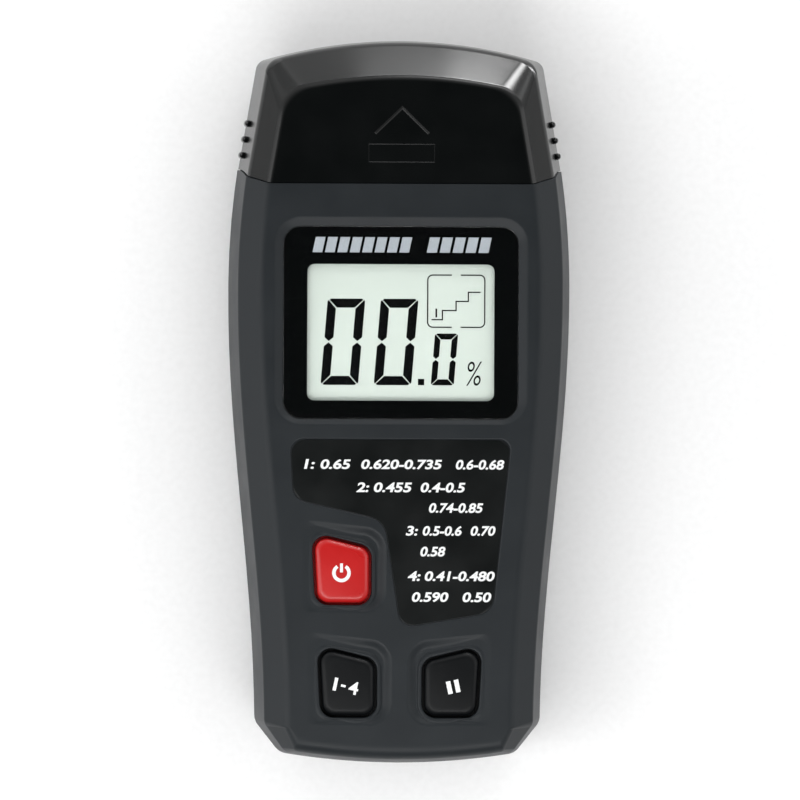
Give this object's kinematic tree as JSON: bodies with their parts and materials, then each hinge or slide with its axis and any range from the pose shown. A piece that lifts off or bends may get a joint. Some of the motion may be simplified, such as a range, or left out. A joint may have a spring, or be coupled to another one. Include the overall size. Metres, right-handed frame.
{
  "type": "pin moisture meter",
  "caption": "Handheld two-pin wood moisture meter with a pull-off pin cap, a display, three keys, a sliding battery door and a block battery inside.",
  "frame": {"origin": "centre of the case's back face, which lies on the surface", "axes": "+X to the right seen from the front, +Y from the foot towards the electrode pins, +Z out of the display"},
  "size_m": [0.0614, 0.13, 0.0286],
  "materials": {
    "case_plastic": "fine moulded texture",
    "cap_plastic": "semi-gloss",
    "door_plastic": "fine moulded texture",
    "lens_plastic": "clear polished acrylic",
    "lens_print": "black back print",
    "label_film": "satin printed film",
    "lcd_glass": "reflective liquid crystal cell",
    "carrier_plastic": "moulded",
    "strip_rubber": "soft",
    "board_laminate": "solder mask",
    "chip_epoxy": "cured epoxy blob",
    "component_bodies": "mixed small parts",
    "mat_silicone": "moulded silicone",
    "pill_carbon": "carbon-filled",
    "red_key_plastic": "satin",
    "black_key_plastic": "satin",
    "insulator_plastic": "moulded",
    "socket_brass": "turned",
    "pin_steel": "ground",
    "nut_steel": "nickel plated",
    "red_insulation": "extruded",
    "black_insulation": "extruded",
    "battery_jacket": "printed steel jacket",
    "terminal_nickel": "nickel plated",
    "snap_vinyl": "soft moulded",
    "foam_grey": "open-cell foam",
    "screw_steel": "zinc plated"
  },
  "bodies": {
    "case": {"front_shell": "case_plastic", "rear_shell": "case_plastic", "display_lens": "lens_plastic", "lens_mask": "lens_print", "wood_group_label": "label_film", "lcd_panel": "lcd_glass", "lcd_carrier": "carrier_plastic", "contact_strips": "strip_rubber", "main_board": "board_laminate", "controller_chip": "chip_epoxy", "board_components": "component_bodies", "keypad_mat": "mat_silicone", "power_dome": "mat_silicone", "mode_dome": "mat_silicone", "hold_dome": "mat_silicone", "pin_block": "insulator_plastic", "pin_sockets": "socket_brass", "left_electrode_pin": "pin_steel", "right_electrode_pin": "pin_steel", "pin_nuts": "nut_steel", "left_pin_lead": "red_insulation", "right_pin_lead": "black_insulation", "battery": "battery_jacket", "battery_terminals": "terminal_nickel", "battery_snap": "snap_vinyl", "red_battery_lead": "red_insulation", "black_battery_lead": "black_insulation", "battery_foam": "foam_grey", "case_screws": "screw_steel", "board_screws": "screw_steel"},
    "cap": {"pin_cap": "cap_plastic"},
    "door": {"battery_door": "door_plastic"},
    "power_button": {"power_key": "red_key_plastic", "power_pill": "pill_carbon"},
    "mode_button": {"mode_key": "black_key_plastic", "mode_pill": "pill_carbon"},
    "hold_button": {"hold_key": "black_key_plastic", "hold_pill": "pill_carbon"}
  },
  "joints": [
    {"name": "cap_slide", "type": "slide", "parent": "case", "child": "cap", "axis": [0, 1, 0], "range_m": [0, 0.045]},
    {"name": "door_slide", "type": "slide", "parent": "case", "child": "door", "axis": [0, -1, 0], "range_m": [0, 0.068]},
    {"name": "power_press", "type": "slide", "parent": "case", "child": "power_button", "axis": [0, 0, -1], "range_m": [0, 0.001], "stiffness_N_per_m": 900, "springref_m": -0.0008, "deforming": ["power_dome"]},
    {"name": "mode_press", "type": "slide", "parent": "case", "child": "mode_button", "axis": [0, 0, -1], "range_m": [0, 0.001], "stiffness_N_per_m": 900, "springref_m": -0.0008, "deforming": ["mode_dome"]},
    {"name": "hold_press", "type": "slide", "parent": "case", "child": "hold_button", "axis": [0, 0, -1], "range_m": [0, 0.001], "stiffness_N_per_m": 900, "springref_m": -0.0008, "deforming": ["hold_dome"]}
  ]
}
